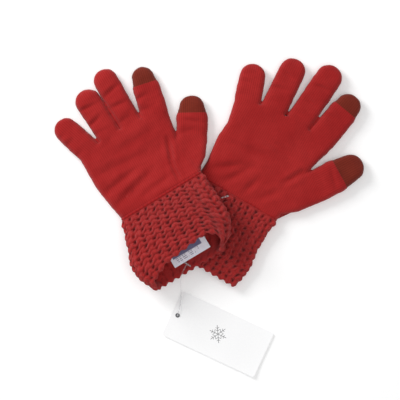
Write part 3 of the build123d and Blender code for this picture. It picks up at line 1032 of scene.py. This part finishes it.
def fine_knit(name, shade, base, light):
    """Fine jersey in soft yarn with a little fuzz, with painted shade in the grooves between wales and on the
    low parts of the stitches.
    """
    finish = Finish(name, **FELTED)
    place = finish.noted("place")
    height, groove = jersey(finish)
    cloud = finish.noise(place, 0.035, 3.0).rise(0.3, 0.7)
    fuzz = finish.noise(place, 1.1, 4.0)
    streak = finish.noise(finish.scaled(finish.noted("yarn"), (0.45, 0.06, 0.0)), 1.0, 2.0)
    body = finish.colour(0.5 * cloud + 0.25 * streak + 0.35 * fuzz - 0.1, base, light)
    # painted shade: the grooves between wales and the low parts of each stitch are mixed towards the shade
    # colour
    with_painted_shade = finish.colour(0.55 * groove + 0.5 * (1 - height) * (1 - fuzz), body, shade)
    return finish.paint(with_painted_shade, 0.82 + 0.15 * fuzz, height + 0.6 * fuzz, thick=0.35 * MM, strength=0.8)


def chunky_knit(name, shade, base, light):
    """Thick brushed yarn, with a painted highlight on the crowns of its stitches and painted shade down in
    the holes.
    """
    finish = Finish(name, **FELTED)
    place = finish.noted("place")
    yarn = finish.noted("yarn")
    deep = yarn.part(2)
    fuzz = finish.noise(place, 0.55, 5.0)
    hair = finish.noise(place, 1.9, 4.0)
    ply = ((yarn.part(1) * 5.0 + yarn.part(0) * 9.0 + fuzz * 2.0) * (2 * pi)).sine()
    # painted highlight: the stitches' crowns, high in the relief, are mixed towards the lighter red, together
    # with random lighter and darker hairs
    crown_highlight = (deep + 1.8 * fuzz).rise(-0.6, 3.6)
    body = finish.colour(0.7 * crown_highlight + 0.7 * hair - 0.3, base, light)
    # painted shade: the holes, low in the relief, are mixed towards the dark hole colour
    pit_shade = 1 - (deep + 2.4 * fuzz).rise(-1.2, 2.6)
    with_painted_shade = finish.colour(pit_shade * 0.7, body, shade)
    height = 0.25 * ply + 1.3 * fuzz + 0.9 * hair
    return finish.paint(with_painted_shade, 0.86 + 0.12 * hair, height, thick=0.8 * MM, strength=0.9)


def linked_yarn(name, shade, base):
    """The yarn of the wrist's linking: small slanting stitches, with painted shade between them."""
    finish = Finish(name, **FELTED)
    fuzz = finish.noise(finish.noted("place"), 1.2, 4.0)
    raised = finish.noted("yarn").part(2)
    # painted shade: the low places between the stitches are mixed towards the shade colour, with random fuzz
    yarn = finish.colour(raised * 0.7 + 0.4 * fuzz, shade, base)
    return finish.paint(yarn, 0.85 + 0.12 * fuzz, raised + fuzz, thick=0.4 * MM)


def label_satin():
    """White satin ribbon with rows of plain bars where such a label is printed, and a dark navy painted
    shadow above them, where the cuff's upper layer covers it.
    """
    finish = Finish("label_satin", Specular_IOR_Level=0.4, Sheen_Weight=0.15)
    face = finish.noted("face")
    u, v = face.part(0), face.part(1)
    weave = (v * (2 * pi * 110)).sine() * 0.5 + 0.5
    stain = finish.noise(face, 9.0, 3.0)
    # painted shadow: a dark navy strip across the label, where the cuff's upper layer lies over it
    painted_shadow_band = u.within((0.06, 0.07), (0.86, 0.87)) * v.within((0.235, 0.26), (0.52, 0.56))
    rows = ((v * 17.0) % 1.0).rise(0.5, 0.62) * v.within((0.055, 0.06), (0.23, 0.235))
    blocks = finish.noise(finish.scaled(face, (22.0, 3.0, 0.0)), 1.0, 0.0).rise(0.42, 0.5)
    bars = rows * blocks * u.within((0.08, 0.09), (0.74, 0.75))
    cloth = finish.colour(stain, (0.74, 0.71, 0.84), (0.96, 0.95, 1.0))
    printed = finish.colour(bars * 0.75, cloth, (0.10, 0.09, 0.17))
    printed = finish.colour(painted_shadow_band * (0.82 + 0.15 * stain), printed, (0.055, 0.045, 0.16))
    return finish.paint(printed, 0.34 + 0.12 * weave, weave, thick=0.05 * MM, strength=0.5)


def card_stock():
    """Smooth white card with a plain six-armed snowflake printed in its middle."""
    finish = Finish("card_stock", Specular_IOR_Level=0.3)
    face = finish.noted("face")
    u, v = face.part(0), face.part(1)
    pulp = finish.noise(face, 0.6, 5.0)
    radius = (u * u + v * v) ** 0.5
    turn = v.reckon("ARCTAN2", v, u) + 2 * pi
    turned = (turn + pi / 6) % (pi / 3) - pi / 6
    out, side = radius * turned.cosine(), abs(radius * turned.sine())
    mark = (1 - side.rise(0.22, 0.4)) * (1 - out.rise(9.4, 9.6))
    for fork, length in ((3.4, 2.8), (6.0, 2.0)):
        off_line = abs((out - fork) * sin(pi / 3) - side * cos(pi / 3))
        branch = (1 - off_line.rise(0.18, 0.35)) * (1 - side.rise(length - 0.2, length))
        mark = mark.at_least(branch * out.rise(fork - 0.2, fork))
    card = finish.colour(pulp, (0.90, 0.90, 0.91), (0.97, 0.97, 0.97))
    printed = finish.colour(mark * (0.7 + 0.2 * pulp), card, (0.05, 0.05, 0.055))
    return finish.paint(printed, 0.55 + 0.15 * pulp, pulp, thick=0.04 * MM, strength=0.4)


def small_finish(name, dark, light, rough, grain, **constants):
    """A small moulded, painted or spun part: fine grain over an even colour."""
    finish = Finish(name, **constants)
    speck = finish.noise(finish.node("TexCoord", {}, {}, "Object"), grain, 4.0)
    even = finish.colour(speck, dark, light)
    return finish.paint(even, rough + 0.15 * speck, speck, thick=0.05 * MM, strength=0.4)


KNIT = fine_knit("fine_knit_red", RED_SHADE, RED, RED_LIGHT)
CONDUCTIVE = fine_knit("conductive_knit_brown", CAP_SHADE, CAP_BROWN, CAP_LIGHT)
CHUNKY = chunky_knit("chunky_knit_red", HOLE_SHADE_RED, CHUNKY_RED, RED_LIGHT)
LINKING = linked_yarn("linking_yarn_red", RED_SHADE, RED)
THREAD = small_finish("label_thread", (0.60, 0.58, 0.66), (0.82, 0.80, 0.88), 0.6, 900.0)
RING = small_finish("eyelet_paint", (0.045, 0.045, 0.05), (0.11, 0.11, 0.12), 0.35, 1500.0, Metallic=0.3)
PLASTIC = small_finish("clear_plastic", (0.86, 0.87, 0.89), (0.96, 0.96, 0.97), 0.12, 600.0,
                       Transmission_Weight=0.82, IOR=1.45)


# ---- assembly


def dress(piece, material):
    """Gives a new piece its material, in its mesh's only slot."""
    piece.data.materials.clear()
    piece.data.materials.append(material)


def dress_node(node, material):
    """Gives a CAD node that stays in sight its material."""
    shown = frame["nodes"][node]
    for holder in shown.material_slots:
        holder.material = material
    return shown


camera_data = bpy.data.cameras.new("camera")
camera_data.sensor_width = 36
camera_data.lens = camera_data.sensor_width * VIEW_HEIGHT / VIEW_WIDTH
camera = new_object("camera", camera_data)
camera.location = (*VIEW_CENTRE, VIEW_HEIGHT)
bpy.context.scene.camera = camera

card = make_tag()
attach(card, "swing_tag")
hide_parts("swing_tag")
dress(card, card_stock())
filament = make_filament()
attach(filament, "right_cuff")
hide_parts("tag_filament")
dress(filament, PLASTIC)
on_filament = [dress_node("filament_anchor", PLASTIC), dress_node("tag_button", PLASTIC)]
dress_node("tag_eyelet", RING)
dress_node("pair_tie", PLASTIC)
dress_node("label_stitches", THREAD)

for glove in GLOVES:
    for name, piece in make_hand_pieces(glove).items():
        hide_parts(f"{glove}_{name}")
        if name == "hand":
            run = WRIST[glove]
            run.at(0, -1, 0)
            run.at(0, WRIST_REACH, 0)
            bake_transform(piece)
            dress(piece, KNIT)
        elif name.endswith("_tip"):
            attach(piece, f"{glove}_{name.removesuffix('_tip')}")
            dress(piece, CONDUCTIVE)
        else:
            run = FINGER[glove, name]
            run.at(0, 0, 0)
            run.at(0, BEND_REACH, 0)
            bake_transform(piece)
            dress(piece, KNIT)
    cuff = make_cuff(glove)
    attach(cuff, f"{glove}_cuff")
    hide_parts(f"{glove}_cuff")
    dress(cuff, CHUNKY)
    linking = make_wrist_seam(glove)
    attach(linking, f"{glove}_cuff")
    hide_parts(f"{glove}_wrist_seam")
    dress(linking, LINKING)

label = make_label()
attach(label, "right_cuff")
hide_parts("care_label")
dress(label, label_satin())

# ---- studio

floor_corners = [(FLOOR_HALF * x, FLOOR_HALF * y, 0) for x, y in ((-1, -1), (1, -1), (1, 1), (-1, 1))]
floor_mesh = mesh_of("floor", floor_corners, [(0, 1, 2, 3)])
floor = new_object("floor", floor_mesh)
floor_mesh.materials.append(small_finish("paper_floor", (0.86, 0.86, 0.86), (0.88, 0.88, 0.88), 0.8, 40.0,
                                         Emission_Strength=FLOOR_GLOW, Emission_Color=(1, 1, 1, 1)))
for name, place, size, power in LAMPS:
    light = bpy.data.lights.new(name, "AREA")
    light.size = size
    light.energy = power
    lamp = new_object(name, light)
    lamp.location = place
    lamp.rotation_euler = (-Vector(place)).to_track_quat("-Z", "Y").to_euler()
world = bpy.data.worlds.new("studio")
world.use_nodes = True
world.node_tree.nodes["Background"].inputs["Color"].default_value = (1, 1, 1, 1)
world.node_tree.nodes["Background"].inputs["Strength"].default_value = SKY
bpy.context.scene.world = world
bpy.context.scene.view_settings.view_transform = "Standard"
